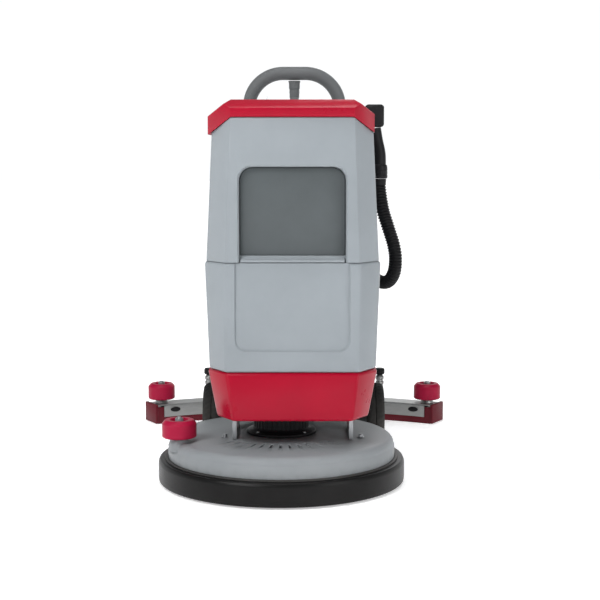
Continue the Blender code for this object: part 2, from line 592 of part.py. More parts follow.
def squeegee_arm():
    pivot = empty("squeegee_arm_pivot", (0, ARM_PIVOT_Y, ARM_PIVOT_Z))
    reach = SPIGOT_Y - ARM_PIVOT_Y
    section = [(-0.012, -0.012), (0.012, -0.012), (0.13, -0.086), (0.173, -0.086), (0.173, -0.077), (0.02,
                                                                                                     0.012),
               (-0.012, 0.012)]
    arm = put("squeegee_arm", loft([[(x, y, z) for y, z in section] for x in (-0.030, 0.030)]),
              "painted_steel",
              parent=pivot)
    collar = rod(0.034, 0.0615, 0.0745, 24)
    collar.transform(Matrix.Translation((0, reach, -ARM_PIVOT_Z)))
    boolean(arm, collar, "UNION")
    bore = rod(0.0208, 0.03, 0.12, 24)
    bore.transform(Matrix.Translation((0, reach, -ARM_PIVOT_Z)))
    boolean(arm, bore)


def levers():
    pivot = empty("squeegee_lever_pivot", (0.10, 0.436, 0.70))
    hub = rod(0.0095, -0.006, 0.006, 20)
    hub.transform(Matrix.Rotation(math.pi / 2, 4, "Y"))
    lever = put("squeegee_lever", hub, "painted_steel", parent=pivot)
    boolean(lever, loft([[(x, y, z) for y, z in ((-0.006, 0), (0.007, 0), (0.050, 0.085), (0.038, 0.090))]
                         for x in (-0.005, 0.005)]), "UNION")
    grip = turned([(0, 0), (0.010, 0), (0.013, 0.012), (0.010, 0.026), (0, 0.030)], 16)
    grip.transform(Matrix.Translation((0, 0.042, 0.082)) @ Matrix.Rotation(-0.46, 4, "X"))
    boolean(lever, grip, "UNION")
    pedal = empty("deck_pedal_pivot", (0.158, 0.345, 0.235))
    foot = put("deck_pedal", block((-0.006, -0.012, -0.012), (0.006, 0.012, 0.012)), "painted_steel",
               parent=pedal)
    boolean(foot, loft([[(x, y, z) for y, z in ((0, -0.006), (0.11, -0.030), (0.11, -0.020), (0, 0.008))]
                        for x in (-0.0055, 0.0055)]), "UNION")
    boolean(foot, block((-0.025, 0.095, -0.036), (0.025, 0.145, -0.022)), "UNION")


def main():
    clear_scene()
    solution_tank()
    batteries()
    front_cover()
    chassis()
    transaxle()
    wheels()
    casters()
    recovery_tank()
    tank_lid()
    drain_parts()
    rear_housing()
    dashboard()
    handle()
    brush_deck()
    deck_roller()
    brush()
    deck_link()
    squeegee()
    squeegee_arm()
    levers()
    for thing in bpy.context.scene.objects:
        if thing.parent is None:
            thing.location.y -= BOX_MIDDLE_Y


main()
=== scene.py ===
"""Looks of the walk-behind floor scrubber dryer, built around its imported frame. Metres, +Z up."""
import json
import math
import random

import bmesh
import bpy
from mathutils import Matrix, Vector


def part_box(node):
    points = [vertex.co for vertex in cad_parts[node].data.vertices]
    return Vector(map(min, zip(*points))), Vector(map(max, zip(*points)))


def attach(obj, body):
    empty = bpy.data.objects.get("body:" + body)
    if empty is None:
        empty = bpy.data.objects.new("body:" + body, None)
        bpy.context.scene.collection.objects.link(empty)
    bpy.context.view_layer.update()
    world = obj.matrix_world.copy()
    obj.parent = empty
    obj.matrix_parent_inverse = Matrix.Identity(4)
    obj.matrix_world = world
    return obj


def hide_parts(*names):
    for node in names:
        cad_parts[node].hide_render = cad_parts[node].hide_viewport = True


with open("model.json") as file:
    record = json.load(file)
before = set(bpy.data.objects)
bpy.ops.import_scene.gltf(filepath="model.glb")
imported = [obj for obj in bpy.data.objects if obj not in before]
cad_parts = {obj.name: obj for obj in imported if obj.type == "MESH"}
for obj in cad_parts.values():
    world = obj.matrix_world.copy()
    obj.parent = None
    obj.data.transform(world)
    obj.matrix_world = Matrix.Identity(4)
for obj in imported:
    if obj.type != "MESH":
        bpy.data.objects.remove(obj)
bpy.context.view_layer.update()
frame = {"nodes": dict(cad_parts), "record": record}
nodes = frame["nodes"]

# ---------------------------------------------------------------- sizes, read from the frame
TANK_LOW, TANK_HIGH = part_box("recovery_tank")
BASE_LOW, BASE_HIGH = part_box("solution_tank")
COVER_LOW, COVER_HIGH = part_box("front_cover")
LID_LOW, LID_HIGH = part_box("tank_lid")
WINDOW_LOW, WINDOW_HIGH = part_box("window_insert")
DECK_LOW, DECK_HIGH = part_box("deck_skirt")
FRONT_Y, REAR_Y = TANK_LOW[1], TANK_HIGH[1]
CORNER_Y = FRONT_Y + 0.06
SEAM_Z = TANK_LOW[2]
DECK_X, DECK_Y = (DECK_LOW[0] + DECK_HIGH[0]) / 2, (DECK_LOW[1] + DECK_HIGH[1]) / 2
SKIRT_R = (DECK_HIGH[0] - DECK_LOW[0]) / 2
DECK_R = SKIRT_R - 0.0225
GAP = 0.0003
SHIFT_Y = 0.02175  # the frame stands this far behind the axes its depths were first set out from

# ---------------------------------------------------------------- camera and light
CAMERA_X, CAMERA_Z, CAMERA_TO_DECK, CAMERA_DOWN = 0.016, 0.734, 3.01, 0.106
FOCAL_PIXELS, FRAME_PIXELS, SENSOR = 1331, 600, 36.0


def camera_and_lights():
    lens = bpy.data.cameras.new("camera")
    lens.sensor_width = SENSOR
    lens.lens = FOCAL_PIXELS / FRAME_PIXELS * SENSOR
    eye = bpy.data.objects.new("camera", lens)
    eye.location = (CAMERA_X, DECK_Y - CAMERA_TO_DECK, CAMERA_Z)
    eye.rotation_euler = (math.pi / 2 - CAMERA_DOWN, 0.0, 0.0)
    bpy.context.scene.collection.objects.link(eye)
    bpy.context.scene.camera = eye
    lamps = [  # name, place, size, power, what it points at
        ("key", (-1.9, -2.5, 2.5), 1.3, 78, (0, -0.2, 0.5)),
        ("fill", (2.6, -2.2, 1.5), 1.6, 34, (0, 0, 0.5)),
        ("top", (0.0, -0.3, 3.0), 1.6, 46, (0, -0.2, 0.4)),
        ("rim", (0.8, 2.8, 2.2), 1.6, 26, (0, 0, 0.6)),
    ]
    for name, place, size, power, target in lamps:
        light = bpy.data.lights.new(name, "AREA")
        light.size, light.energy = size, power
        lamp = bpy.data.objects.new(name, light)
        lamp.location = place
        lamp.rotation_euler = (Vector(target) - Vector(place)).to_track_quat("-Z", "Y").to_euler()
        bpy.context.scene.collection.objects.link(lamp)
    world = bpy.data.worlds.new("studio")
    world.use_nodes = True
    tree = world.node_tree
    tree.nodes["Background"].inputs["Color"].default_value = (0.96, 0.97, 0.98, 1)
    # white along the horizon, dim overhead
    place = tree.nodes.new("ShaderNodeTexCoord")
    height = tree.nodes.new("ShaderNodeSeparateXYZ")
    fade = tree.nodes.new("ShaderNodeMapRange")
    fade.inputs["From Min"].default_value, fade.inputs["From Max"].default_value = 0.16, 0.42
    fade.inputs["To Min"].default_value, fade.inputs["To Max"].default_value = 1.05, 0.16
    tree.links.new(place.outputs["Generated"], height.inputs["Vector"])
    tree.links.new(height.outputs["Z"], fade.inputs["Value"])
    tree.links.new(fade.outputs["Result"], tree.nodes["Background"].inputs["Strength"])
    bpy.context.scene.world = world
    bpy.context.scene.view_settings.view_transform = "Standard"


# ---------------------------------------------------------------- materials
def tint(colour, factor):
    return (*[max(0.0, min(1.0, c * factor)) for c in colour], 1.0)


def finish_for(name, colour, rough, metal=0.0, mottle=0.10, mottle_scale=7.0, grain=900.0, bump=0.05,
               rough_spread=0.10, stretch=(1, 1, 1), coat=0.0, dust=0.0, sheen=0.0):
    """One procedural finish: cloudy colour, fine surface grain, uneven gloss and settled dust low down."""
    made = bpy.data.materials.new(name)
    made.use_nodes = True
    tree = made.node_tree
    shader = tree.nodes["Principled BSDF"]
    shader.inputs["Metallic"].default_value = metal
    shader.inputs["Coat Weight"].default_value = coat
    shader.inputs["Coat Roughness"].default_value = 0.12
    shader.inputs["Sheen Weight"].default_value = sheen
    shader.inputs["Specular IOR Level"].default_value = 0.5 if metal or coat > 0.5 else 0.13

    def node(kind, **values):
        new = tree.nodes.new(kind)
        for key, value in values.items():
            new.inputs[key].default_value = value
        return new

    place = tree.nodes.new("ShaderNodeTexCoord")
    along = node("ShaderNodeMapping", Scale=stretch)
    tree.links.new(place.outputs["Object"], along.inputs["Vector"])
    cloud = node("ShaderNodeTexNoise", Scale=mottle_scale, Detail=5.0, Roughness=0.6)
    fine = node("ShaderNodeTexNoise", Scale=grain, Detail=3.0)
    tree.links.new(along.outputs["Vector"], cloud.inputs["Vector"])
    tree.links.new(along.outputs["Vector"], fine.inputs["Vector"])
    ramp = tree.nodes.new("ShaderNodeValToRGB")
    ramp.color_ramp.elements[0].position, ramp.color_ramp.elements[1].position = 0.3, 0.7
    ramp.color_ramp.elements[0].color = tint(colour, 1.0 - mottle)
    ramp.color_ramp.elements[1].color = tint(colour, 1.0 + mottle)
    tree.links.new(cloud.outputs["Fac"], ramp.inputs["Fac"])
    colour_out = ramp.outputs["Color"]
    if dust:
        where = tree.nodes.new("ShaderNodeSeparateXYZ")
        tree.links.new(place.outputs["Object"], where.inputs["Vector"])
        low = tree.nodes.new("ShaderNodeMapRange")
        low.inputs["From Min"].default_value, low.inputs["From Max"].default_value = 0.16, 0.0
        low.inputs["To Max"].default_value = dust
        tree.links.new(where.outputs["Z"], low.inputs["Value"])
        patchy = tree.nodes.new("ShaderNodeMath")
        patchy.operation = "MULTIPLY"
        tree.links.new(low.outputs["Result"], patchy.inputs[0])
        tree.links.new(cloud.outputs["Fac"], patchy.inputs[1])
        mix = tree.nodes.new("ShaderNodeMix")
        mix.data_type = "RGBA"
        mix.inputs[7].default_value = (0.33, 0.31, 0.28, 1)
        tree.links.new(patchy.outputs["Value"], mix.inputs[0])
        tree.links.new(colour_out, mix.inputs[6])
        colour_out = mix.outputs[2]
    tree.links.new(colour_out, shader.inputs["Base Color"])
    gloss = tree.nodes.new("ShaderNodeMapRange")
    gloss.inputs["To Min"].default_value = max(0.03, rough - rough_spread)
    gloss.inputs["To Max"].default_value = min(1.0, rough + rough_spread)
    tree.links.new(cloud.outputs["Fac"], gloss.inputs["Value"])
    tree.links.new(gloss.outputs["Result"], shader.inputs["Roughness"])
    height = node("ShaderNodeBump", Strength=bump, Distance=0.001)
    tree.links.new(fine.outputs["Fac"], height.inputs["Height"])
    tree.links.new(height.outputs["Normal"], shader.inputs["Normal"])
    return made


LOOKS = {
    "tank_grey": finish_for("tank_grey", (0.238, 0.262, 0.280), 0.38, mottle=0.05, grain=1300, bump=0.10,
                            coat=0.04),
    "window_dark": finish_for("window_dark", (0.078, 0.088, 0.092), 0.34, mottle=0.12, mottle_scale=5,
                              grain=800),
    "cover_red": finish_for("cover_red", (0.30, 0.0010, 0.016), 0.30, mottle=0.07, grain=1100, bump=0.08,
                            coat=0.06),
    "deck_grey": finish_for("deck_grey", (0.215, 0.232, 0.245), 0.42, mottle=0.08, grain=1500, bump=0.22,
                            dust=0.3),
    "handle_grey": finish_for("handle_grey", (0.098, 0.103, 0.106), 0.46, mottle=0.10, grain=1600, bump=0.30),
    "black_plastic": finish_for("black_plastic", (0.008, 0.008, 0.009), 0.42, mottle=0.2, grain=1200,
                                bump=0.12),
    "skirt_rubber": finish_for("skirt_rubber", (0.003, 0.003, 0.0033), 0.36, mottle=0.25, grain=900,
                               bump=0.15,
                               dust=0.03),
    "tyre_rubber": finish_for("tyre_rubber", (0.011, 0.011, 0.011), 0.75, mottle=0.3, grain=700, bump=0.4,
                              dust=0.35),
    "blade_red": finish_for("blade_red", (0.105, 0.004, 0.012), 0.55, mottle=0.15, grain=700, bump=0.2,
                            dust=0.05),
    "roller_red": finish_for("roller_red", (0.31, 0.006, 0.035), 0.40, mottle=0.08, grain=1200, bump=0.12),
    "steel": finish_for("steel", (0.30, 0.31, 0.32), 0.32, metal=1.0, mottle=0.08, mottle_scale=60,
                        stretch=(1, 1, 12), grain=900, bump=0.06),
    "alloy": finish_for("alloy", (0.30, 0.305, 0.30), 0.36, metal=0.85, mottle=0.07, mottle_scale=40,
                        stretch=(0.2, 3, 3), grain=1100, bump=0.08),
    "black_steel": finish_for("black_steel", (0.02, 0.02, 0.021), 0.45, mottle=0.2, grain=1400, bump=0.25,
                              dust=0.2),
    "bristle": finish_for("bristle", (0.03, 0.05, 0.13), 0.6, mottle=0.4, mottle_scale=90, sheen=0.3),
    "lens": finish_for("lens", (0.015, 0.022, 0.024), 0.10, mottle=0.1, bump=0.0, coat=0.6,
                       rough_spread=0.03),
}


def repaint_frame():
    """Every CAD node that stays takes the finish of its slot."""
    slots = {row["node"]: row["material_slot"] for row in frame["record"]["subparts"]}
    for name, thing in nodes.items():
        thing.data.materials.clear()
        thing.data.materials.append(LOOKS[slots[name]])


# ---------------------------------------------------------------- mesh helpers
def loft(rings, closed_ends=True):
    mesh = bmesh.new()
    loops = [[mesh.verts.new(point) for point in ring] for ring in rings]
    count = len(loops[0])
    for lower, upper in zip(loops, loops[1:]):
        for i in range(count):
            j = (i + 1) % count
            mesh.faces.new((lower[i], lower[j], upper[j], upper[i]))
    if closed_ends:
        mesh.faces.new(list(reversed(loops[0])))
        mesh.faces.new(loops[-1])
    return mesh


def block(low, high):
    mesh = bmesh.new()
    bmesh.ops.create_cube(mesh, size=1.0)
    low, high = Vector(low), Vector(high)
    bmesh.ops.scale(mesh, vec=high - low, verts=mesh.verts)
    bmesh.ops.translate(mesh, vec=(low + high) / 2, verts=mesh.verts)
    return mesh


def turned(profile, steps=96, centre=(0, 0, 0), turn=None, wave=None):
    """A closed profile of (radius, height) spun about Z; wave scales the radius for flutes and treads."""
    mesh = bmesh.new()
    on_axis = profile[0][0] == 0 and profile[-1][0] == 0
    rings = []
    for radius, height in profile:
        angles = [0] if radius == 0 else [2 * math.pi * i / steps for i in range(steps)]
        rings.append([])
        for a in angles:
            r = radius * (wave(a, radius, height) if wave else 1.0)
            rings[-1].append(mesh.verts.new((r * math.cos(a), r * math.sin(a), height)))
    for first, second in list(zip(rings, rings[1:])) + ([] if on_axis else [(rings[-1], rings[0])]):
        for i in range(steps):
            j = (i + 1) % steps
            corners = (first[i % len(first)], first[j % len(first)], second[j % len(second)],
                       second[i % len(second)])
            unique = list(dict.fromkeys(corners))
            if len(unique) > 2:
                mesh.faces.new(unique)
    place = Matrix.Translation(centre)
    mesh.transform(place @ turn if turn else place)
    return mesh


def rounded(profile, radius=0.002, steps=4):
    """The corners of a (radius, height) outline made round, apart from those on the axis."""
    made = []
    count = len(profile)
    for i, point in enumerate(profile):
        here = Vector(point)
        if point[0] == 0:
            made.append(point)
            continue
        before, after = Vector(profile[i - 1]) - here, Vector(profile[(i + 1) % count]) - here
        cut = min(radius, before.length * 0.45, after.length * 0.45)
        start, end = here + before.normalized() * cut, here + after.normalized() * cut
        for k in range(steps + 1):
            t = k / steps
            made.append(tuple((1 - t) ** 2 * start + 2 * t * (1 - t) * here + t * t * end))
    return made


def arc(centre, radius, start_deg, end_deg, steps=10):
    turns = [math.radians(start_deg + (end_deg - start_deg) * i / steps) for i in range(steps + 1)]
    return [(centre[0] + radius * math.cos(t), centre[1] + radius * math.sin(t)) for t in turns]


def smooth_path(points, per_span):
    ends = [2 * Vector(points[0]) - Vector(points[1])]
    ends += [Vector(p) for p in points] + [2 * Vector(points[-1]) - Vector(points[-2])]
    path = []
    for a, b, c, d in zip(ends, ends[1:], ends[2:], ends[3:]):
        for i in range(per_span):
            t = i / per_span
            path.append(0.5 * (2 * b + (c - a) * t + (2 * a - 5 * b + 4 * c - d) * t**2
                               + (3 * b - a - 3 * c + d) * t**3))
    return path + [Vector(points[-1])]


def sweep(points, radius_at, steps=32, start_side=(0, 1, 0)):
    """A round bar along points; radius_at(length so far) gives its radius."""
    points = [Vector(p) for p in points]
    rings, side, travelled = [], Vector(start_side), 0.0
    for i, point in enumerate(points):
        along = (points[min(i + 1, len(points) - 1)] - points[max(i - 1, 0)]).normalized()
        side = (side - side.dot(along) * along).normalized()
        across = along.cross(side)
        travelled += (point - points[i - 1]).length if i else 0.0
        radius = radius_at(travelled)
        turns = [2 * math.pi * k / steps for k in range(steps)]
        rings.append([point + radius * (math.cos(t) * side + math.sin(t) * across) for t in turns])
    return loft(rings)


def evenly(points, step):
    """The same line with points at even spacing."""
    line, left = [Vector(points[0])], step
    for a, b in zip(points, points[1:]):
        a, b = Vector(a), Vector(b)
        while (b - a).length >= left:
            a = a + (b - a).normalized() * left
            line.append(a)
            left = step
        left -= (b - a).length
    return line + [Vector(points[-1])] if (line[-1] - Vector(points[-1])).length > step / 3 else line


def as_object(name, mesh):
    bmesh.ops.recalc_face_normals(mesh, faces=mesh.faces)
    data = bpy.data.meshes.new(name)
    mesh.to_mesh(data)
    mesh.free()
    made = bpy.data.objects.new(name, data)
    bpy.context.scene.collection.objects.link(made)
    return made


def settle(thing):
    """Apply the modifiers so far."""
    graph = bpy.context.evaluated_depsgraph_get()
    data = bpy.data.meshes.new_from_object(thing.evaluated_get(graph))
    thing.modifiers.clear()
    thing.data = data
    return thing


def combine(thing, mesh, operation="DIFFERENCE"):
    tool = as_object("tool", mesh)
    step = thing.modifiers.new("combine", "BOOLEAN")
    step.operation, step.object, step.solver = operation, tool, "EXACT"
    settle(thing)
    bpy.data.objects.remove(tool, do_unlink=True)
    return thing


def bevelled(thing, width, segments=4, angle_deg=25):
    step = thing.modifiers.new("bevel", "BEVEL")
    step.width, step.segments, step.limit_method = width, segments, "ANGLE"
    step.angle_limit, step.harden_normals = math.radians(angle_deg), True
    return settle(thing)


def edge_bevel(thing, width):
    """A bevel that stays on a node of the frame, whose mesh isn't changed."""
    step = thing.modifiers.new("edge", "BEVEL")
    step.width, step.segments, step.limit_method = width, 2, "ANGLE"
    return step


def piece(name, source, slot, body, replaced=(), sharp_deg=35):
    """Finish a piece: its look from its slot's finish, hiding the frame nodes it stands in for, and the body
    it rides on.
    """
    made = source if isinstance(source, bpy.types.Object) else as_object(name, source)
    made.name = made.data.name = name
    made.data.materials.clear()
    made.data.materials.append(LOOKS[slot])
    made.data.shade_smooth()
    made.data.set_sharp_from_angle(angle=math.radians(sharp_deg))
    if replaced:
        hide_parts(*replaced)
    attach(made, body)
    return made


def bolt(name, centre, body, slot="steel", radius=0.005, height=0.004, axis=(0, 0, 1)):
    """A hexagon bolt on a washer, standing on centre along axis."""
    turn = Vector(axis).to_track_quat("Z", "Y").to_matrix().to_4x4()
    wide, thick, crown = radius * 1.5, 0.0012, height * 1.2
    disc = rounded([(0, 0), (wide, 0), (wide, thick), (0, thick)], 0.0004)
    washer = as_object(name, turned(disc, 32, centre, turn))
    outline = [(0, 0.001), (radius, 0.001), (radius, height), (radius * 0.8, crown), (0, crown)]
    combine(washer, turned(outline, 6, centre, turn), "UNION")
    return piece(name, bevelled(washer, 0.0003, 2), slot, body)


# ---------------------------------------------------------------- tank stack
TANK_TOP_Z, SHOULDER_SLOPE, SHOULDER_X = 0.8205, 0.031 / 0.045, 0.130
LID_TOP_Z, LID_HINGE_Z = LID_HIGH[2], 0.8285


def plan(front_x, side_x, z, front=FRONT_Y, corner=CORNER_Y, rear=REAR_Y):
    return [(-side_x, rear, z), (-side_x, corner, z), (-front_x, front, z),
            (front_x, front, z), (side_x, corner, z), (side_x, rear, z)]


def roof(lift, flat_x=SHOULDER_X, out_x=0.26, low=0.3):
    """A prism along Y under the sloping shoulders, raised by lift."""
    top = TANK_TOP_Z + lift
    drop = SHOULDER_SLOPE * (out_x - flat_x)
    section = [(-out_x, low), (out_x, low), (out_x, top - drop), (flat_x, top), (-flat_x, top),
               (-out_x, top - drop)]
    return loft([[(x, y, z) for x, z in section] for y in (-0.62, 0.55)])


def window_outline(half_x, low, high, radius, low_radius=0.0):
    """An upright rounded outline in (x, z), with large corners at the top."""
    small = max(low_radius, 0.001)
    outline = arc((-half_x + small, low + small), small, 180, 270, 6)
    outline += arc((half_x - small, low + small), small, 270, 360, 6)
    outline += arc((half_x - radius, high - radius), radius, 0, 90)
    return outline + arc((-half_x + radius, high - radius), radius, 90, 180)


def upright(outline, *depths):
    return loft([[(x, y, z) for x, z in outline] for y in depths])


def recovery_tank():
    inner_rear = REAR_Y - 0.006
    half_low, half_high = TANK_HIGH[0], 0.171
    body = as_object("tank_body", loft([plan(0.1435, half_low, SEAM_Z), plan(0.130, half_high, 0.86)]))
    combine(body, roof(-0.0002), "INTERSECT")
    bevelled(body, 0.009, 5, 20)
    pocket = [plan(0.128, 0.178, SEAM_Z + 0.008, FRONT_Y + 0.038, FRONT_Y + 0.08, inner_rear),
              plan(0.120, 0.165, 0.90, FRONT_Y + 0.038, FRONT_Y + 0.08, inner_rear)]
    combine(body, loft(pocket))
    half, low, high = WINDOW_HIGH[0] + 0.001, SEAM_Z - 0.01, WINDOW_HIGH[2] + 0.001
    back = WINDOW_HIGH[1] + GAP
    mouth = window_outline(half, low, high, 0.029)
    combine(body, upright(mouth, FRONT_Y - 0.05, back))
    flare = [[(x * (1 + k), FRONT_Y + y, low + (z - low) * (1 + k) - 0.004 * (k > 0)) for x, z in mouth]
             for y, k in ((-0.003, 0.045), (0.0055, 0.0))]
    combine(body, loft(flare))
    face = WINDOW_LOW[1]
    sill = [(face, SEAM_Z + 0.0008), (face, WINDOW_LOW[2] - 0.0012), (face + 0.035, WINDOW_LOW[2] - 0.0012),
            (face + 0.035, SEAM_Z + 0.0008)]
    ledge = [(FRONT_Y + 0.002, SEAM_Z + 0.0008), (FRONT_Y + 0.002, SEAM_Z + 0.005),
             (face + 0.004, WINDOW_LOW[2] - 0.0016), (face + 0.004, SEAM_Z + 0.0008)]
    combine(body, loft([[(x, y, z) for y, z in sill] for x in (-half - 0.006, half + 0.006)]), "UNION")
    combine(body, loft([[(x, y, z) for y, z in ledge] for x in (-half + 0.003, half - 0.003)]), "UNION")
    bevelled(body, 0.0016, 3, 38)
    piece("recovery_tank_shell", body, "tank_grey", "recovery", ["recovery_tank"])
    low = WINDOW_LOW[2]
    panel = as_object("window", upright(window_outline(half - 0.0015, low, high - 0.0015, 0.0275), face,
                                        back - GAP))
    piece("window_pane", bevelled(panel, 0.0012, 3), "window_dark", "recovery", ["window_insert"])
    hinge_z = SEAM_Z + 0.010
    for i, x in enumerate((-0.150, 0.150)):
        turn = Matrix.Rotation(math.pi / 2, 4, "Y")
        pin = turned(rounded([(0, -0.012), (0.004, -0.012), (0.004, 0.012), (0, 0.012)], 0.001), 32,
                     (x, CORNER_Y + 0.2, hinge_z), turn)
        piece(f"seam_bush_{i}", pin, "black_plastic", "recovery")


def solution_tank():
    body = as_object("base_body", loft([plan(0.1455, 0.183, BASE_LOW[2]), plan(0.1455, 0.192, BASE_HIGH[2])]))
    bevelled(body, 0.008, 5, 20)
    combine(body, block((-0.155, -0.118, BASE_LOW[2] + 0.015), (0.155, 0.292, 0.6)))
    outline = [(0.122, 0.60), (-0.122, 0.60)]
    outline += arc((-0.122 + 0.026, 0.322 + 0.026), 0.026, 180, 270)
    outline += arc((0.122 - 0.026, 0.322 + 0.026), 0.026, 270, 360)
    combine(body, upright(outline, FRONT_Y - 0.05, FRONT_Y + 0.005))
    soft = [[(x * (1 + k), FRONT_Y + y, z - 0.005 * (k > 0)) for x, z in outline]
            for y, k in ((-0.002, 0.035), (0.0045, 0.0))]
    combine(body, loft(soft))
    bevelled(body, 0.0014, 3, 32)
    piece("solution_tank_shell", body, "tank_grey", "chassis", ["solution_tank"])


def front_cover():
    low, high = COVER_LOW[2], COVER_HIGH[2]
    rear = COVER_HIGH[1]
    body = as_object("cover_body", loft([plan(0.130, 0.166, low, rear=rear),
                                         plan(0.1435, 0.186, high, rear=rear)]))
    bevelled(body, 0.007, 5, 20)
    front, corner = FRONT_Y + 0.005, CORNER_Y + 0.003
    combine(body, loft([plan(0.126, 0.161, low - 0.02, front, corner, rear + 0.1),
                        plan(0.1375, 0.179, high - 0.004, front, corner, rear + 0.1)]))
    bevelled(body, 0.001, 3, 40)
    piece("front_cover_shell", body, "cover_red", "chassis", ["front_cover"])
    for side in (-1, 1):
        for i, z in enumerate((low + 0.030, high - 0.022)):
            x = side * (0.1775 if i else 0.1665)
            bolt(f"cover_bolt_{'l' if side < 0 else 'r'}{i}", (x, rear - 0.022, z), "chassis", "steel",
                 0.0042, 0.003, (side, 0, 0))


def tank_lid():
    low_y, high_y = LID_LOW[1], LID_HIGH[1]
    half, half_right = -LID_LOW[0], LID_HIGH[0]
    body = as_object("lid_body", loft([plan(0.132, half, z, low_y, CORNER_Y, high_y) for z in (0.7, 0.9)]))
    front, rear = low_y - 0.01, high_y + 0.01
    side = [(front, 0.70), (rear, 0.70), (rear, 0.833), (high_y - 0.030, LID_TOP_Z),
            (low_y + 0.040, LID_TOP_Z),
            (front, 0.8355)]
    combine(body, loft([[(x, y, z) for y, z in side] for x in (-0.3, 0.3)]), "INTERSECT")
    combine(body, roof(LID_TOP_Z - TANK_TOP_Z, 0.132), "INTERSECT")
    combine(body, roof(GAP + 0.0004))
    bevelled(body, 0.0055, 5, 12)
    combine(body, block((half_right, -0.6, 0.7), (0.3, 0.6, 0.9)))
    cavity = as_object("cavity", loft([plan(0.118, 0.166, z, low_y + 0.034, CORNER_Y + 0.014, high_y - 0.026)
                                       for z in (0.7, 0.9)]))
    combine(cavity, roof(0.030, 0.128), "INTERSECT")
    graph = bpy.context.evaluated_depsgraph_get()
    hollow = bmesh.new()
    hollow.from_object(cavity, graph)
    bpy.data.objects.remove(cavity, do_unlink=True)
    combine(body, hollow)
    # a shallow tray pressed into the top
    tray = window_outline(0.106, -0.36, 0.22, 0.03, 0.03)
    combine(body, loft([[(x, y, z) for x, y in tray] for z in (LID_TOP_Z - 0.0035, LID_TOP_Z + 0.05)]))
    bevelled(body, 0.0012, 3, 40)
    piece("lid_shell", body, "cover_red", "lid", ["tank_lid"])
    for i, x in enumerate((-0.10, 0.10)):
        turn = Matrix.Rotation(math.pi / 2, 4, "Y")
        knuckle = turned(rounded([(0, -0.018), (0.0045, -0.018), (0.0045, 0.018), (0, 0.018)], 0.001), 32,
                         (x, high_y - 0.002, LID_HINGE_Z), turn)
        piece(f"lid_hinge_{i}", knuckle, "black_plastic", "lid")


# ---------------------------------------------------------------- drain hose
HOSE_ROUTE = [(x, y + SHIFT_Y, z) for x, y, z in [
    (0.228, 0.250, 0.6798), (0.2285, 0.250, 0.655), (0.237, 0.245, 0.600), (0.252, 0.240, 0.550),
    (0.266, 0.237, 0.505), (0.272, 0.240, 0.465), (0.268, 0.253, 0.425), (0.252, 0.283, 0.400),
    (0.226, 0.318, 0.403), (0.200, 0.342, 0.435), (0.182, 0.353, 0.475), (0.1763, 0.354, 0.5140)]]
HOSE_D, RIB_PITCH, CUFF = 0.037, 0.0078, 0.016


def drain_hose():
    path = smooth_path(HOSE_ROUTE, 40)
    length = sum((b - a).length for a, b in zip(path, path[1:]))
    line = evenly(path, RIB_PITCH / 8)

    def radius(at):
        if at < CUFF or at > length - CUFF:
            return HOSE_D / 2 - 0.0004
        wave = 0.5 + 0.5 * math.cos(2 * math.pi * (at - CUFF) / RIB_PITCH)
        return HOSE_D / 2 - 0.0032 * (1 - wave ** 0.6)

    hose = piece("drain_hose_ribbed", sweep(line, radius, 28), "black_plastic", "recovery", ["drain_hose"],
                 60)
    [tuple(p) for p in evenly(path, 0.012)]


def drain_fittings():
    low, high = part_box("drain_neck")
    x, y = 0.228, 0.27175
    neck = [(x, y, 0.700), (x - 0.001, y + 0.001, 0.745), (x - 0.008, y + 0.005, 0.780),
            (x - 0.0135, y + 0.008, 0.8125)]
    tube = as_object("neck", sweep(smooth_path(neck, 12), lambda at: HOSE_D / 2 - 0.001, 40))
    collar = turned(rounded([(0, low[2]), (0.0205, low[2]), (0.0215, low[2] + 0.004), (0.0215, 0.706),
                             (0.0205, 0.714), (0.0185, 0.718), (0, 0.718)], 0.0015), 72, (x, y, 0))
    combine(tube, collar, "UNION")
    for z in (0.690, 0.700):
        groove = turned([(0.0209, z), (0.026, z), (0.026, z + 0.002), (0.0209, z + 0.002)], 72, (x, y, 0))
        combine(tube, groove)
    piece("drain_neck_smooth", bevelled(tube, 0.0006, 2, 45), "black_plastic", "recovery", ["drain_neck"])
    low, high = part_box("drain_cap")
    cap = bevelled(as_object("cap", block(low, high)), 0.009, 6)
    middle_x = (low[0] + high[0]) / 2
    for i in range(5):
        z = low[2] + 0.012 + i * 0.008
        for side in (-1, 1):
            slot = block((middle_x + side * 0.0245 - 0.002, low[1] + 0.008, z),
                         (middle_x + side * 0.0245 + 0.002, high[1] - 0.008, z + 0.003))
            combine(cap, slot)
    piece("drain_cap_ribbed", bevelled(cap, 0.0006, 2, 45), "black_plastic", "recovery", ["drain_cap"])
    elbow = [(0.176, REAR_Y + 0.0008, 0.552), (0.176, REAR_Y + 0.020, 0.552), (0.176, REAR_Y + 0.040, 0.5475),
             (0.176, REAR_Y + 0.052, 0.535), (0.176, REAR_Y + 0.054, 0.5185)]
    knee = as_object("elbow", sweep(smooth_path(elbow, 10), lambda at: HOSE_D / 2 + 0.0012
                                    + 0.0012 * (at < 0.006), 40, (1, 0, 0)))
    piece("drain_elbow_smooth", bevelled(knee, 0.0008, 3, 45), "black_plastic", "recovery", ["drain_elbow"])


# ---------------------------------------------------------------- handle and controls
HANDLE_LOW, HANDLE_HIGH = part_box("handle_loop")
GRIP_R, LEG_R = 0.0188, 0.0162
ARCH_R = 0.098
FLANGE_Z = 0.770
DASH_Y, DASH_Z, DASH_TILT_DEG = 0.42 + SHIFT_Y, 0.872, 13
LOUVRES, LOUVRE_STEP, LOUVRE_LOW_Z, LOUVRE_HALF_X = 9, 0.012, 0.40, 0.075


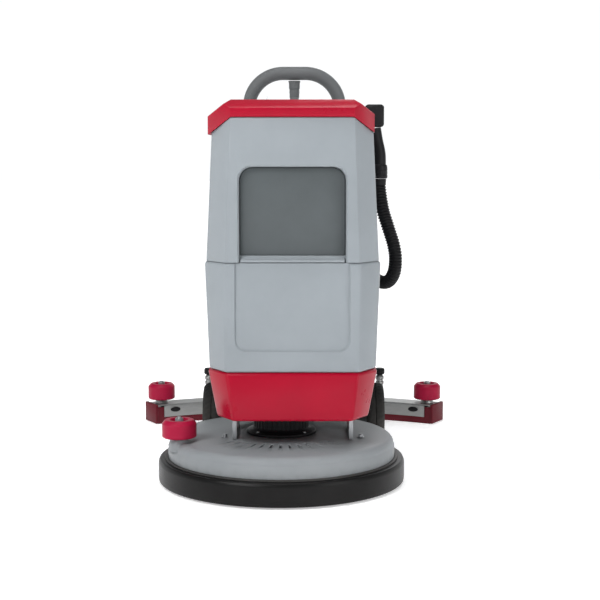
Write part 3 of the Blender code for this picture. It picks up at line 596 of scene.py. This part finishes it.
def handle():
    x = HANDLE_HIGH[0] - LEG_R * 1.08
    y, top = HANDLE_HIGH[1] - GRIP_R, HANDLE_HIGH[2] - GRIP_R
    foot_y = HANDLE_LOW[1] + 0.0006
    half = smooth_path([(x, foot_y, FLANGE_Z), (x, foot_y + 0.032, 0.772), (x, y - 0.017, 0.803),
                        (x, y, 0.850),
                        (x, y, 0.880)], 12)
    half += [(u, y, v) for u, v in arc((x - ARCH_R, top - ARCH_R), ARCH_R, 0, 90, 24)]
    line = half + [(-p[0], p[1], p[2]) for p in reversed(half)]
    whole = sum((Vector(b) - Vector(a)).length for a, b in zip(line, line[1:]))

    def radius(at):
        from_foot = min(at, whole - at)
        t = max(0.0, min(1.0, (from_foot - 0.14) / 0.09))
        return LEG_R + (GRIP_R - LEG_R) * t * t * (3 - 2 * t)

    piece("handle_tube", sweep(line, radius, 40, (1, 0, 0)), "handle_grey", "chassis", ["handle_loop"], 50)
    for side in (-1, 1):
        flange = turned(rounded([(0, 0), (0.025, 0), (0.025, 0.006), (0.018, 0.012), (0, 0.012)], 0.002), 56,
                        (side * x, foot_y - 0.0012, FLANGE_Z), Matrix.Rotation(-math.pi / 2, 4, "X"))
        piece(f"handle_flange_{'l' if side < 0 else 'r'}", flange, "handle_grey", "chassis")


def handle_stem():
    low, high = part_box("handle_stem")
    y, top = HANDLE_HIGH[1] - GRIP_R, high[2]
    post = as_object("stem", turned(rounded(
        [(0, top - 0.050), (0.0138, top - 0.050), (0.0138, top - 0.026), (0.0155, top - 0.022),
         (0.0155, top - 0.008),
         (0.0178, top - 0.001), (0, top)], 0.003), 56, (0, y, 0)))
    foot = [(0.010, -0.047), (0.010, -0.056), (-0.046, -0.0938), (-0.066, -0.0887), (-0.066, -0.080),
            (-0.014, -0.047)]
    combine(post, loft([[(side, y + v, top + w) for v, w in foot] for side in (-0.0125, 0.0125)]), "UNION")
    piece("stem_post", bevelled(post, 0.002, 4, 40), "handle_grey", "chassis", ["handle_stem"])
    low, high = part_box("drive_trigger")
    rings = [[(-wide, low[1], z), (wide, low[1], z), (wide, high[1], z), (-wide, high[1], z)]
             for z, wide in ((low[2], 0.011), (low[2] + 0.01, 0.0145), (high[2], 0.0135))]
    paddle = as_object("paddle", loft(rings))
    piece("trigger_paddle", bevelled(paddle, 0.0028, 4, 40), "handle_grey", "trigger", ["drive_trigger"])


def dashboard():
    """The sloping panel with its screws, lens, buttons, water knob and key."""
    tilt = math.radians(DASH_TILT_DEG)
    centre = Vector((0, DASH_Y, DASH_Z))
    frame_of = Matrix.Translation(centre) @ Matrix.Rotation(-tilt, 4, "X")

    def laid(mesh):
        mesh.transform(frame_of)
        return mesh

    panel = as_object("dash", laid(block((-0.108, -0.062, -0.030), (0.108, 0.058, 0))))
    bevelled(panel, 0.007, 5)
    for x, y in ((-0.075, -0.030), (0.075, -0.030)):
        combine(panel, laid(turned([(0.0195, -0.0012), (0.021, -0.0012), (0.021, 0.01), (0.0195, 0.01)], 64,
                                   (x, y, 0))))
    piece("dash_panel", bevelled(panel, 0.0005, 2, 50), "window_dark", "chassis", ["dashboard_panel"])
    lens = as_object("lens_body", laid(block((-0.030, -0.050, GAP), (0.030, -0.018, 0.003))))
    piece("lens_glass", bevelled(lens, 0.0012, 4), "lens", "chassis", ["display_lens"])
    for i, x in enumerate((-0.099, 0.099)):
        for j, y in enumerate((-0.052, 0.048)):
            screw = laid(turned(rounded([(0, 0), (0.0035, 0), (0.003, 0.0014), (0, 0.0014)], 0.0005), 32,
                                (x, y, 0)))
            piece(f"dash_screw_{i}{j}", screw, "steel", "chassis")
    buttons = {"brush_button": (-0.045, "brush_switch"), "vacuum_button": (0.045, "vacuum_switch")}
    for name, (x, body) in buttons.items():
        outline = [(0, 0.003), (0.011, 0.003), (0.011, 0.0085), (0.007, 0.0078), (0, 0.0075)]
        cap = laid(turned(rounded(outline, 0.0012), 56, (x, 0.030, 0)))
        piece(f"{name}_cap", cap, "tank_grey", body, [name])
        outline = [(0.0115, GAP), (0.0152, GAP), (0.0145, 0.0026), (0.0115, 0.0026)]
        bezel = laid(turned(rounded(outline, 0.0006), 56, (x, 0.030, 0)))
        piece(f"{name}_bezel", bezel, "black_plastic", "chassis")
    flute = lambda a, r, h: 1 - 0.035 * (r > 0.013) * (0.5 + 0.5 * math.cos(16 * a))
    outline = [(0, GAP), (0.0168, GAP), (0.0150, 0.013), (0.012, 0.0148), (0, 0.0148)]
    knob = as_object("knob", laid(turned(rounded(outline, 0.0012), 96, (0.075, -0.030, 0), None, flute)))
    combine(knob, laid(block((0.0742, -0.026, 0.0138), (0.0758, -0.015, 0.02))))
    piece("water_knob_fluted", knob, "black_plastic", "water", ["water_knob"])
    outline = [(0, GAP), (0.009, GAP), (0.0085, 0.006), (0, 0.006)]
    key = as_object("key", laid(turned(rounded(outline, 0.0008), 56, (-0.075, -0.030, 0))))
    combine(key, laid(block((-0.0762, -0.0375, 0.004), (-0.0738, -0.0225, 0.0235))), "UNION")
    piece("key_in_lock", bevelled(key, 0.0006, 2, 45), "steel", "key", ["key_switch"])


def rear_parts():
    rear_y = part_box("rear_housing")[1][1]
    edge_bevel(nodes["rear_housing"], 0.0015)
    for i in range(LOUVRES):
        z = LOUVRE_LOW_Z + i * LOUVRE_STEP
        louvre = as_object("louvre", block((-LOUVRE_HALF_X, rear_y - 0.0012, z),
                                           (LOUVRE_HALF_X, rear_y, z + 0.005)))
        piece(f"louvre_{i}", bevelled(louvre, 0.0005, 2), "window_dark", "chassis")


# ---------------------------------------------------------------- brush deck
DECK_TOP_Z, SLOTS_A_SIDE, DEEP_SLOTS_A_SIDE, SLOT_STEP_DEG = 0.110, 6, 3, 7.5


def brush_deck():
    """The domed housing with its slots, the skirt, its strap, the motor and the hangers' bolts."""
    wall, top = 0.005, DECK_TOP_Z
    outer = [(DECK_R, 0.047), (DECK_R, 0.083), (DECK_R - 0.002, 0.0855)]
    outer += arc((DECK_R - 0.0205, 0.0870), 0.0185, 5, 78, 8)
    outer += [(0.205, 0.1078), (0.13, top), (0.035, top)]
    inner = [(0.035, top - wall), (0.13, top - wall), (0.232, 0.100), (DECK_R - wall, 0.086),
             (DECK_R - wall, 0.047)]
    deck = as_object("deck", turned(outer + inner, 192, (DECK_X, DECK_Y, 0)))
    for i in range(-SLOTS_A_SIDE, SLOTS_A_SIDE + 1):
        turn = Matrix.Rotation(math.radians(i * SLOT_STEP_DEG), 4, "Z")
        reach = 0.172 - 0.004 * (abs(i) > DEEP_SLOTS_A_SIDE)
        slot = block((-0.0024, -reach, 0.09), (0.0024, -0.140, 0.13))
        lift = 0 if abs(i) <= DEEP_SLOTS_A_SIDE else 0.0175
        slot.transform(Matrix.Translation((DECK_X, DECK_Y, lift)) @ turn)
        combine(deck, slot)
    bevelled(deck, 0.0009, 2, 50)
    post_x, post_y = -0.253, -0.40 + SHIFT_Y
    combine(deck, turned(rounded([(0, 0.090), (0.0092, 0.090), (0.0092, 0.158), (0, 0.158)], 0.001), 32,
                         (post_x, post_y, 0)), "UNION")
    boss = turned(rounded([(0, 0.085), (0.026, 0.085), (0.020, 0.113), (0, 0.113)], 0.003), 48,
                  (post_x, post_y, 0))
    combine(deck, boss, "UNION")
    piece("deck_housing", deck, "deck_grey", "deck", ["brush_deck"], 40)
    low, high, out = 0.004, 0.056, SKIRT_R
    skirt = rounded([(out - 0.012, low), (out - 0.001, low), (out, low + 0.008), (out, high - 0.008),
                     (out - 0.004, high), (DECK_R + 0.0005, high), (DECK_R + 0.0005, 0.049),
                     (out - 0.012, 0.044)],
                    0.003, 5)
    piece("skirt_ring", turned(skirt, 224, (DECK_X, DECK_Y, 0)), "skirt_rubber", "deck", ["deck_skirt"])
    band = rounded([(DECK_R + 0.0006, high + GAP), (DECK_R + 0.0078, high + GAP),
                    (DECK_R + 0.0070, high + 0.0036),
                    (DECK_R + 0.0006, high + 0.0040)], 0.0008)
    piece("strap_ring", turned(band, 224, (DECK_X, DECK_Y, 0)), "black_steel", "deck", ["skirt_strap"])
    motor_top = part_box("brush_motor")[1][2]
    motor = rounded([(0, 0.1105), (0.080, 0.1105), (0.080, 0.1165), (0.0660, 0.121), (0.0625, 0.124),
                     (0.0625, motor_top - 0.012), (0.0560, motor_top), (0, motor_top)], 0.002)
    ribs = lambda a, r, h: 1 - 0.035 * (0.125 < h < motor_top - 0.010) * (0.5 + 0.5 * math.cos(36 * a)) ** 2
    body = as_object("motor", turned(motor, 216, (DECK_X, DECK_Y, 0), None, ribs))
    piece("motor_can", body, "black_plastic", "deck", ["brush_motor"], 50)
    for i, x in enumerate((-0.0515, 0.0515)):
        bolt(f"motor_bolt_{i}", (DECK_X + x, DECK_Y - 0.050, 0.1165), "deck", "steel", 0.0040, 0.003)
    for side, name in ((-1, "left"), (1, "right")):
        lo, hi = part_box(f"deck_hanger_{name}")
        edge_bevel(nodes[f"deck_hanger_{name}"], 0.0012)
        bolt(f"hanger_bolt_{name}", (side * 0.153, lo[1] + 0.030, 0.1095), "deck", "steel", 0.0055, 0.006)
        pin = (hi[0] if side > 0 else lo[0], (lo[1] + hi[1]) / 2 + 0.058, 0.158)
        bolt(f"hanger_pin_{name}", pin, "deck", "steel", 0.005, 0.003, (side, 0, 0))


ROLLER_RECESS, BOLT_RISE = 0.0068, 0.0085


def rollers():
    spots = {"deck_roller": "bumper", "squeegee_roller_left": "bumper_left",
             "squeegee_roller_right": "bumper_right"}
    for name, body in spots.items():
        low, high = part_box(name)
        r = (high[0] - low[0]) / 2
        x, y, tall = (low[0] + high[0]) / 2, (low[1] + high[1]) / 2, high[2] - low[2]
        outline = [(0.0105, 0), (r - 0.003, 0), (r, 0.003), (r, tall - 0.008), (r - 0.007, tall),
                   (0.021, tall),
                   (0.0175, tall - 0.008), (0.0105, tall - 0.008)]
        wheel = turned(rounded(outline, 0.0016), 112, (x, y, low[2]))
        piece(f"{name}_wheel", wheel, "roller_red", body, [name])
        holder = "deck" if name == "deck_roller" else "squeegee"
        spot = (x, y, low[2] + tall - ROLLER_RECESS + BOLT_RISE)
        bolt(f"{name}_bolt", spot, holder, "steel", 0.0058, 0.0035)


TUFT_RINGS, TUFT_INNER_R, TUFT_PITCH = 8, 0.098, 0.0185


def brush():
    low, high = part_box("brush_bristles")
    reach, top = (high[0] - low[0]) / 2, high[2]
    random.seed(5)
    mesh = bmesh.new()
    for k in range(TUFT_RINGS):
        ring_r = TUFT_INNER_R + (reach - 0.008 - TUFT_INNER_R) * k / (TUFT_RINGS - 1)
        count = int(2 * math.pi * ring_r / TUFT_PITCH)
        for i in range(count):
            a = 2 * math.pi * (i + 0.5 * (k % 2)) / count
            foot = 0.0066 + random.uniform(-0.0004, 0.0004)
            x, y = ring_r * math.cos(a), ring_r * math.sin(a)
            rings = []
            for z, r in ((top - 0.0005, 0.0042), (0.016, 0.0050), (0.0, foot)):
                rings.append([mesh.verts.new((DECK_X + x + r * math.cos(math.pi * j / 4),
                                              DECK_Y + y + r * math.sin(math.pi * j / 4),
                                              z)) for j in range(8)])
            for a_ring, b_ring in zip(rings, rings[1:]):
                for j in range(8):
                    mesh.faces.new((a_ring[j], a_ring[(j + 1) % 8], b_ring[(j + 1) % 8], b_ring[j]))
            mesh.faces.new(rings[0])
            mesh.faces.new(list(reversed(rings[-1])))
    piece("bristle_tufts", mesh, "bristle", "brush", ["brush_bristles"], 50)


# ---------------------------------------------------------------- squeegee
SQUEEGEE_R, SQUEEGEE_Y = 0.81, -0.344 + SHIFT_Y
SQUEEGEE_TIP_X = 0.399
HALF_ANGLE = math.asin(SQUEEGEE_TIP_X / SQUEEGEE_R)
BAR_FRONT, BAR_REAR = 0.040, 0.021
POST_X, POST_Y = 0.373, 0.375 + SHIFT_Y


def along_arc(section, half_angle=HALF_ANGLE, steps=96, start=None):
    """A (radius, height) section carried round the squeegee's arc."""
    first = -half_angle if start is None else start
    rings = []
    for i in range(steps + 1):
        a = first + (half_angle - first) * i / steps
        rings.append([(r * math.sin(a), SQUEEGEE_Y + r * math.cos(a), z) for r, z in section])
    return loft(rings)


def squeegee():
    """The curved bar with its spigot and posts, blades, clamp, end caps and adjusters."""
    r, low, high = SQUEEGEE_R, 0.030, 0.052
    section = [(r - BAR_FRONT, low), (r + BAR_REAR - 0.003, low), (r + BAR_REAR, low + 0.003),
               (r + BAR_REAR, high - 0.004), (r + BAR_REAR - 0.004, high), (r - BAR_FRONT + 0.002, high),
               (r - BAR_FRONT, high - 0.002)]
    body = as_object("bar", along_arc(section))
    y = SQUEEGEE_Y + r
    combine(body, turned(rounded([(0, 0.040), (0.0205, 0.040), (0.0203, 0.056), (0.0199, 0.060),
                                  (0.0199, 0.0985),
                                  (0.0185, 0.100), (0, 0.100)], 0.001), 72, (0, y, 0)), "UNION")
    combine(body, turned([(0, 0.02), (0.016, 0.02), (0.016, 0.12), (0, 0.12)], 56, (0, y, 0)))
    for side in (-1, 1):
        post = turned(rounded([(0, 0.045), (0.0094, 0.045), (0.0094, 0.110), (0, 0.110)], 0.001), 40,
                      (side * POST_X, POST_Y, 0))
        combine(body, post, "UNION")
        seat = turned(rounded([(0, 0.045), (0.020, 0.045), (0.016, 0.0605), (0, 0.0605)], 0.001), 40,
                      (side * POST_X, POST_Y, 0))
        combine(body, seat, "UNION")
    piece("squeegee_bar", body, "alloy", "squeegee", ["squeegee_body"], 20)
    for name, inner in (("front", r - BAR_FRONT - 0.0046), ("rear", r + BAR_REAR + 0.0006)):
        blade = along_arc([(inner + 0.0008, 0.0), (inner + 0.0032, 0.0), (inner + 0.004, 0.004),
                           (inner + 0.004, 0.046), (inner, 0.046), (inner, 0.004)])
        piece(f"{name}_blade_strip", blade, "blade_red", "squeegee", [f"{name}_blade"])
    inner, outer = r - 0.0480, r - 0.0449
    clamp = along_arc([(inner, 0.019), (inner + 0.0006, 0.0184), (outer, 0.0184), (outer, 0.050),
                       (inner + 0.001, 0.050), (inner, 0.049)], HALF_ANGLE - 0.022)
    piece("clamp_strip", clamp, "alloy", "squeegee", ["front_clamp"])
    # painted shadow: a thin black strip laid over the gap between the clamp and the bar's front, standing in
    # for the shade there
    shadow = along_arc([(r - 0.0446, 0.0466), (r - 0.0403, 0.0466), (r - 0.0403, 0.0492),
                        (r - 0.0446, 0.0492)],
                       HALF_ANGLE - 0.012)
    piece("painted_shadow_strip", shadow, "skirt_rubber", "squeegee")
    for side, name in ((-1, "left"), (1, "right")):
        for i, angle in enumerate((HALF_ANGLE - 0.065, HALF_ANGLE - 0.30)):
            a = side * angle
            spot = Vector(((inner - 0.0002) * math.sin(a), SQUEEGEE_Y + (inner - 0.0002) * math.cos(a),
                           0.038))
            facing = Vector((-math.sin(a), -math.cos(a), 0))
            turn = facing.to_track_quat("Z", "Y").to_matrix().to_4x4()
            lever = turned(rounded([(0, 0), (0.0075, 0), (0.0065, 0.0048), (0, 0.0055)], 0.0015), 48)
            lever.transform(Matrix.Translation(spot) @ turn @ Matrix.Diagonal((2.0, 0.95, 1, 1)))
            piece(f"clamp_button_{name}_{i}", lever, "black_plastic", "squeegee")
        front, rear = r - BAR_FRONT - 0.0062, r + BAR_REAR + 0.0052
        lip = as_object("lip", along_arc([(front, 0.001), (rear, 0.001), (rear, 0.0535), (front, 0.0535)],
                                         HALF_ANGLE + 0.0105, 3, HALF_ANGLE + 0.0003))
        if side < 0:
            lip.data.transform(Matrix.Diagonal((-1, 1, 1, 1)))
            lip.data.flip_normals()
        piece(f"end_cap_{name}", bevelled(lip, 0.0016, 3), "blade_red", "squeegee", [f"end_flap_{name}"])
        stud_low, stud_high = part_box(f"adjuster_stud_{name}")
        x, y = (stud_low[0] + stud_high[0]) / 2, (stud_low[1] + stud_high[1]) / 2
        base = stud_low[2]
        stud = rounded([(0, base), (0.0138, base), (0.0138, base + 0.005), (0.0098, base + 0.008),
                        (0.0098, 0.094),
                        (0.0118, 0.096), (0.0118, 0.102), (0.0098, 0.104), (0.0098, 0.108), (0.0118, 0.110),
                        (0.0118, 0.116), (0.007, 0.1222), (0, 0.1225)], 0.0006, 3)
        piece(f"adjuster_{name}_stud", turned(stud, 64, (x, y, 0)), "alloy", "squeegee",
              [f"adjuster_stud_{name}"])
        knob = rounded([(0, 0.1228), (0.011, 0.1228), (0.014, 0.126), (0.014, 0.137), (0.011, 0.1407),
                        (0, 0.1407)], 0.0012)
        flutes = lambda a, radius, h: 1 - 0.07 * (radius > 0.012) * (0.5 + 0.5 * math.cos(10 * a)) ** 3
        piece(f"adjuster_{name}_grip", turned(knob, 100, (x, y, 0), None, flutes), "black_plastic",
              f"adjuster_{name}", [f"adjuster_knob_{name}"])


# ---------------------------------------------------------------- wheels
def wheels():
    """Tyres, hubs with five holes and axle nuts, and the casters' rollers."""
    for side, name in ((-1, "left"), (1, "right")):
        low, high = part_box(f"tyre_{name}")
        r, y, z = (high[2] - low[2]) / 2, (low[1] + high[1]) / 2, (low[2] + high[2]) / 2
        out, inside = max(abs(low[0]), abs(high[0])), min(abs(low[0]), abs(high[0]))
        turn = Matrix.Rotation(side * math.pi / 2, 4, "Y")
        tread = lambda a, radius, h: 1 - 0.012 * (radius > r - 0.004) * (math.cos(36 * a + 260 * h) > 0.55)
        outline = [(0.058, inside), (r - 0.009, inside), (r - 0.002, inside + 0.006), (r, inside + 0.012),
                   (r, (inside + out) / 2 - 0.0015), (r - 0.003, (inside + out) / 2),
                   (r, (inside + out) / 2 + 0.0015),
                   (r, out - 0.012), (r - 0.002, out - 0.006), (r - 0.009, out), (0.058, out)]
        tyre = turned(rounded(outline, 0.002), 216, (0, y, z), turn, tread)
        piece(f"tyre_{name}_tread", tyre, "tyre_rubber", f"drive_wheel_{name}", [f"tyre_{name}"], 45)
        hub = [(0, 0.168), (0.022, 0.168), (0.022, 0.190), (0.0577, 0.190), (0.0577, out - 0.004),
               (0.047, out - 0.004),
               (0.039, out - 0.014), (0.020, out - 0.014), (0.018, out - 0.001), (0, out - 0.001)]
        disc = as_object("hub", turned(rounded(hub, 0.0014), 96, (0, y, z), turn))
        for i in range(5):
            a = 2 * math.pi * i / 5
            hole = turned([(0, 0.17), (0.006, 0.17), (0.006, 0.24), (0, 0.24)], 28,
                          (0, 0, 0), Matrix.Translation((0.030 * math.cos(a), 0.030 * math.sin(a), 0)))
            hole.transform(Matrix.Translation((0, y, z)) @ turn)
            combine(disc, hole)
        piece(f"hub_{name}_disc", bevelled(disc, 0.0006, 2, 45), "handle_grey", f"drive_wheel_{name}",
              [f"wheel_hub_{name}"])
        bolt(f"axle_nut_{name}", (side * (out - 0.001), y, z), f"drive_wheel_{name}", "steel", 0.0060, 0.0012,
             (side, 0, 0))
        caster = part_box(f"caster_wheel_{name}")
        r, x = (caster[1][2] - caster[0][2]) / 2, (caster[0][0] + caster[1][0]) / 2
        y, z = (caster[0][1] + caster[1][1]) / 2, r
        outline = rounded([(0, -0.013), (0.012, -0.013), (0.014, -0.0105), (0.026, -0.0085), (0.030, -0.011),
                           (r - 0.0025, -0.0095), (r, -0.005), (r, 0.005), (r - 0.0025, 0.0095),
                           (0.030, 0.011),
                           (0.026, 0.0085), (0.014, 0.0105), (0.012, 0.013), (0, 0.013)], 0.001)
        roll = turned(outline, 96, (x, y, z), Matrix.Rotation(math.pi / 2, 4, "Y"))
        piece(f"caster_{name}_tread", roll, "tyre_rubber", f"caster_roller_{name}", [f"caster_wheel_{name}"])


def crisp_edges():
    """A small bevel on the metal and moulded nodes that stay as they are."""
    kept = ["chassis_frame", "transaxle", "caster_fork_left", "caster_fork_right", "deck_link",
            "squeegee_arm", "squeegee_lever", "deck_pedal", "battery_left", "battery_right", "pad_driver",
            "brush_hub", "suction_pipe", "float_cage", "vacuum_motor"]
    for name in kept:
        step = edge_bevel(nodes[name], 0.0012)
        step.angle_limit, step.harden_normals = math.radians(35), True
        nodes[name].data.shade_smooth()
        nodes[name].data.set_sharp_from_angle(angle=math.radians(35))


def studio_floor():
    """A wide white floor that glows more away from the machine, where no lamp reaches."""
    reach, thickness = 40.0, 0.02
    corners = [(-reach, -reach), (reach, -reach), (reach, reach), (-reach, reach)]
    floor = as_object("studio_floor", loft([[(x, y, z) for x, y in corners]
                                            for z in (-0.0005 - thickness, -0.0005)]))
    look = bpy.data.materials.new("studio_floor")
    look.use_nodes = True
    tree = look.node_tree
    shader = tree.nodes["Principled BSDF"]
    shader.inputs["Base Color"].default_value = (0.93, 0.93, 0.94, 1)
    shader.inputs["Roughness"].default_value = 0.8
    shader.inputs["Specular IOR Level"].default_value = 0.1
    shader.inputs["Emission Color"].default_value = (1, 1, 1, 1)
    place = tree.nodes.new("ShaderNodeTexCoord")
    away = tree.nodes.new("ShaderNodeVectorMath")
    away.operation = "LENGTH"
    glow = tree.nodes.new("ShaderNodeMapRange")
    glow.inputs["From Min"].default_value, glow.inputs["From Max"].default_value = 0.8, 3.0
    glow.inputs["To Min"].default_value, glow.inputs["To Max"].default_value = 0.42, 1.0
    tree.links.new(place.outputs["Object"], away.inputs[0])
    tree.links.new(away.outputs["Value"], glow.inputs["Value"])
    tree.links.new(glow.outputs["Result"], shader.inputs["Emission Strength"])
    floor.data.materials.append(look)


camera_and_lights()
repaint_frame()
drain_hose()
recovery_tank()
solution_tank()
front_cover()
tank_lid()
drain_fittings()
handle()
handle_stem()
dashboard()
rear_parts()
brush_deck()
rollers()
brush()
squeegee()
wheels()
crisp_edges()
studio_floor()
